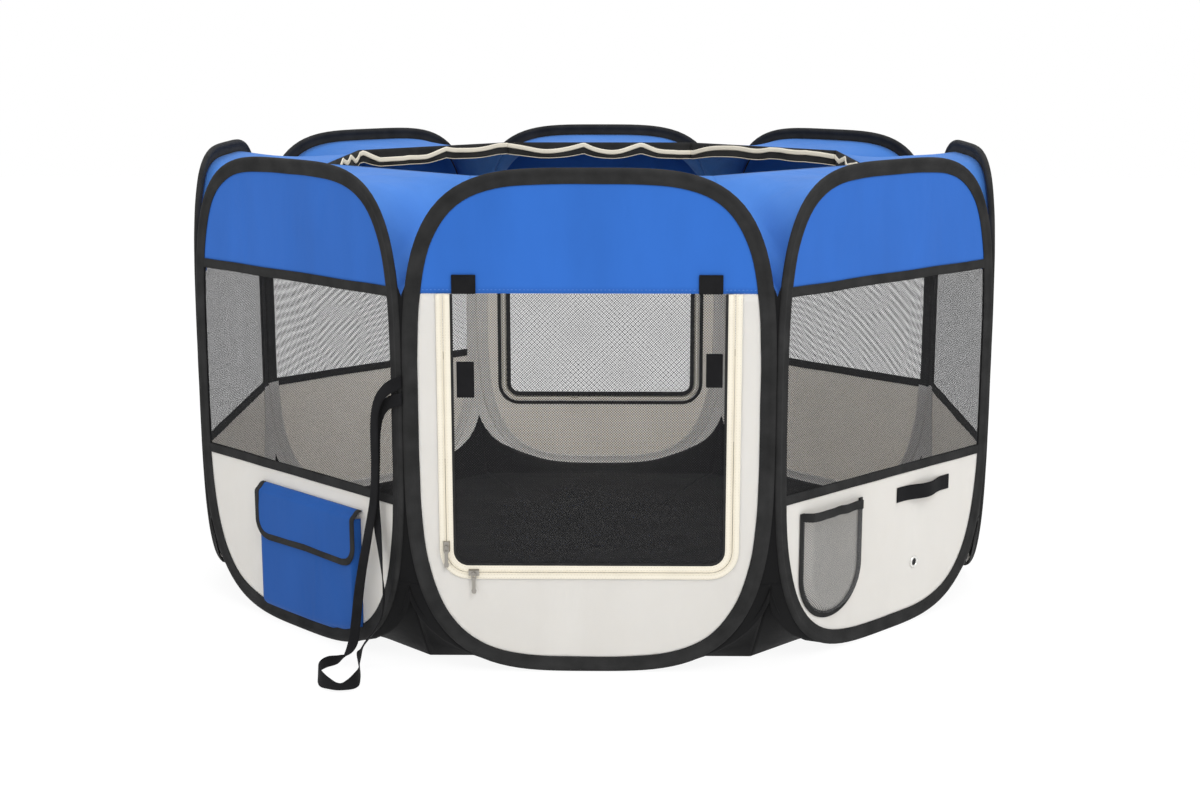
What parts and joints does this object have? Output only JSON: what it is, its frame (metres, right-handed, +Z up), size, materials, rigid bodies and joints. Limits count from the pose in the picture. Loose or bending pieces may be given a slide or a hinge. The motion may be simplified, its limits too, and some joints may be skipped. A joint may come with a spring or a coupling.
{
  "type": "foldable dog playpen",
  "caption": "Soft-sided fabric dog playpen with sprung wire walls, mesh windows, zipped mesh doors, a sewn floor, a sloping rim and pockets.",
  "frame": {"origin": "on the ground at the centre of the octagon, under the floor sheet", "axes": "+Z up; the front door wall faces -Y, and +X is to the right of someone who looks at it"},
  "size_m": [1.023, 1.0972, 0.58],
  "materials": {
    "blue_cloth": "matt woven polyester",
    "cream_cloth": "matt woven polyester",
    "black_binding": "woven binding tape",
    "black_mesh": "open knitted mesh",
    "black_floor": "coated woven polyester",
    "ivory_zip": "woven zip tape with a moulded coil",
    "black_webbing": "flat woven webbing",
    "spring_steel": "drawn spring wire",
    "zip_metal": "plated die casting"
  },
  "bodies": {
    "front_wall": {"front_wire_hoop": "spring_steel", "front_binding": "black_binding", "front_blue_band": "blue_cloth", "front_door_surround": "cream_cloth", "front_zip_surround_half": "ivory_zip", "left_door_tab": "black_webbing", "right_door_tab": "black_webbing", "top_rim": "blue_cloth", "rim_zip_tape": "ivory_zip", "floor_sheet": "black_floor", "hanging_strap": "black_webbing"},
    "front_right_wall": {"front_right_wire_hoop": "spring_steel", "front_right_binding": "black_binding", "front_right_blue_band": "blue_cloth", "front_right_mesh_window": "black_mesh", "front_right_lower_cloth": "cream_cloth", "mesh_pocket": "black_mesh", "bottle_strap": "black_webbing"},
    "right_wall": {"right_wire_hoop": "spring_steel", "right_binding": "black_binding", "right_blue_band": "blue_cloth", "right_mesh_window": "black_mesh", "right_lower_cloth": "cream_cloth"},
    "back_right_wall": {"back_right_wire_hoop": "spring_steel", "back_right_binding": "black_binding", "back_right_blue_band": "blue_cloth", "back_right_mesh_window": "black_mesh", "back_right_lower_cloth": "cream_cloth"},
    "back_wall": {"back_wire_hoop": "spring_steel", "back_binding": "black_binding", "back_blue_band": "blue_cloth", "back_door_surround": "cream_cloth", "back_zip_surround_half": "ivory_zip"},
    "back_left_wall": {"back_left_wire_hoop": "spring_steel", "back_left_binding": "black_binding", "back_left_blue_band": "blue_cloth", "back_left_mesh_window": "black_mesh", "back_left_lower_cloth": "cream_cloth"},
    "left_wall": {"left_wire_hoop": "spring_steel", "left_binding": "black_binding", "left_blue_band": "blue_cloth", "left_mesh_window": "black_mesh", "left_lower_cloth": "cream_cloth"},
    "front_left_wall": {"front_left_wire_hoop": "spring_steel", "front_left_binding": "black_binding", "front_left_blue_band": "blue_cloth", "front_left_mesh_window": "black_mesh", "front_left_lower_cloth": "cream_cloth", "patch_pocket": "blue_cloth"},
    "front_door": {"front_mesh_door": "black_mesh", "front_zip_door_half": "ivory_zip"},
    "back_door": {"back_mesh_door": "black_mesh", "back_zip_door_half": "ivory_zip"},
    "front_side_slider": {"front_side_slider": "zip_metal"},
    "front_bottom_slider": {"front_bottom_slider": "zip_metal"},
    "back_slider": {"back_slider": "zip_metal"},
    "front_side_pull": {"front_side_pull": "zip_metal"},
    "front_bottom_pull": {"front_bottom_pull": "zip_metal"},
    "back_pull": {"back_pull": "zip_metal"},
    "pocket_flap": {"pocket_flap": "blue_cloth"}
  },
  "joints": [
    {"name": "fold_front_right", "type": "hinge", "parent": "front_wall", "child": "front_right_wall", "pos_m": [0.21501, -0.51908, 0], "axis": [0, 0, 1], "range_deg": [-225, 0], "deforming": ["floor_sheet", "top_rim", "rim_zip_tape"]},
    {"name": "fold_right", "type": "hinge", "parent": "front_right_wall", "child": "right_wall", "pos_m": [0.50263, -0.2082, 0], "axis": [0, 0, 1], "range_deg": [0, 135]},
    {"name": "fold_back_right", "type": "hinge", "parent": "right_wall", "child": "back_right_wall", "pos_m": [0.51363, 0.21275, 0], "axis": [0, 0, 1], "range_deg": [-225, 0]},
    {"name": "fold_back", "type": "hinge", "parent": "back_right_wall", "child": "back_wall", "pos_m": [0.2082, 0.50263, 0], "axis": [0, 0, 1], "range_deg": [0, 135]},
    {"name": "fold_front_left", "type": "hinge", "parent": "front_wall", "child": "front_left_wall", "pos_m": [-0.2082, -0.50263, 0], "axis": [0, 0, 1], "range_deg": [-135, 0]},
    {"name": "fold_left", "type": "hinge", "parent": "front_left_wall", "child": "left_wall", "pos_m": [-0.51908, -0.21501, 0], "axis": [0, 0, 1], "range_deg": [0, 225]},
    {"name": "fold_back_left", "type": "hinge", "parent": "left_wall", "child": "back_left_wall", "pos_m": [-0.50263, 0.2082, 0], "axis": [0, 0, 1], "range_deg": [-135, 0]},
    {"name": "front_door_lift", "type": "hinge", "parent": "front_wall", "child": "front_door", "pos_m": [0, -0.51073, 0.4405], "axis": [-1, 0, 0], "range_deg": [0, 110]},
    {"name": "back_door_lift", "type": "hinge", "parent": "back_wall", "child": "back_door", "pos_m": [0, 0.51073, 0.4405], "axis": [1, 0, 0], "range_deg": [0, 110]},
    {"name": "front_side_zip", "type": "slide", "parent": "front_door", "child": "front_side_slider", "axis": [0, 0, 1], "range_m": [0, 0.262]},
    {"name": "front_bottom_zip", "type": "slide", "parent": "front_door", "child": "front_bottom_slider", "axis": [1, 0, 0], "range_m": [0, 0.264]},
    {"name": "back_zip", "type": "slide", "parent": "back_door", "child": "back_slider", "axis": [-1, 0, 0], "range_m": [-0.175, 0.089]},
    {"name": "front_side_pull_swing", "type": "hinge", "parent": "front_side_slider", "child": "front_side_pull", "pos_m": [-0.163, -0.51433, 0.15], "axis": [-1, 0, 0], "range_deg": [0, 120]},
    {"name": "front_bottom_pull_swing", "type": "hinge", "parent": "front_bottom_slider", "child": "front_bottom_pull", "pos_m": [-0.132, -0.51433, 0.119], "axis": [-1, 0, 0], "range_deg": [0, 120]},
    {"name": "back_pull_swing", "type": "hinge", "parent": "back_slider", "child": "back_pull", "pos_m": [-0.043, 0.51433, 0.119], "axis": [1, 0, 0], "range_deg": [0, 120]},
    {"name": "pocket_flap_lift", "type": "hinge", "parent": "front_left_wall", "child": "pocket_flap", "pos_m": [-0.33908, -0.38151, 0.176], "axis": [-0.7071, 0.7071, 0], "range_deg": [0, 95]}
  ],
  "couplings": [
    {"joint": "fold_right", "follows": "fold_front_right", "ratio": -0.6},
    {"joint": "fold_back_right", "follows": "fold_front_right", "ratio": 1},
    {"joint": "fold_back", "follows": "fold_front_right", "ratio": -0.6},
    {"joint": "fold_front_left", "follows": "fold_front_right", "ratio": 0.6},
    {"joint": "fold_left", "follows": "fold_front_right", "ratio": -1},
    {"joint": "fold_back_left", "follows": "fold_front_right", "ratio": 0.6}
  ]
}
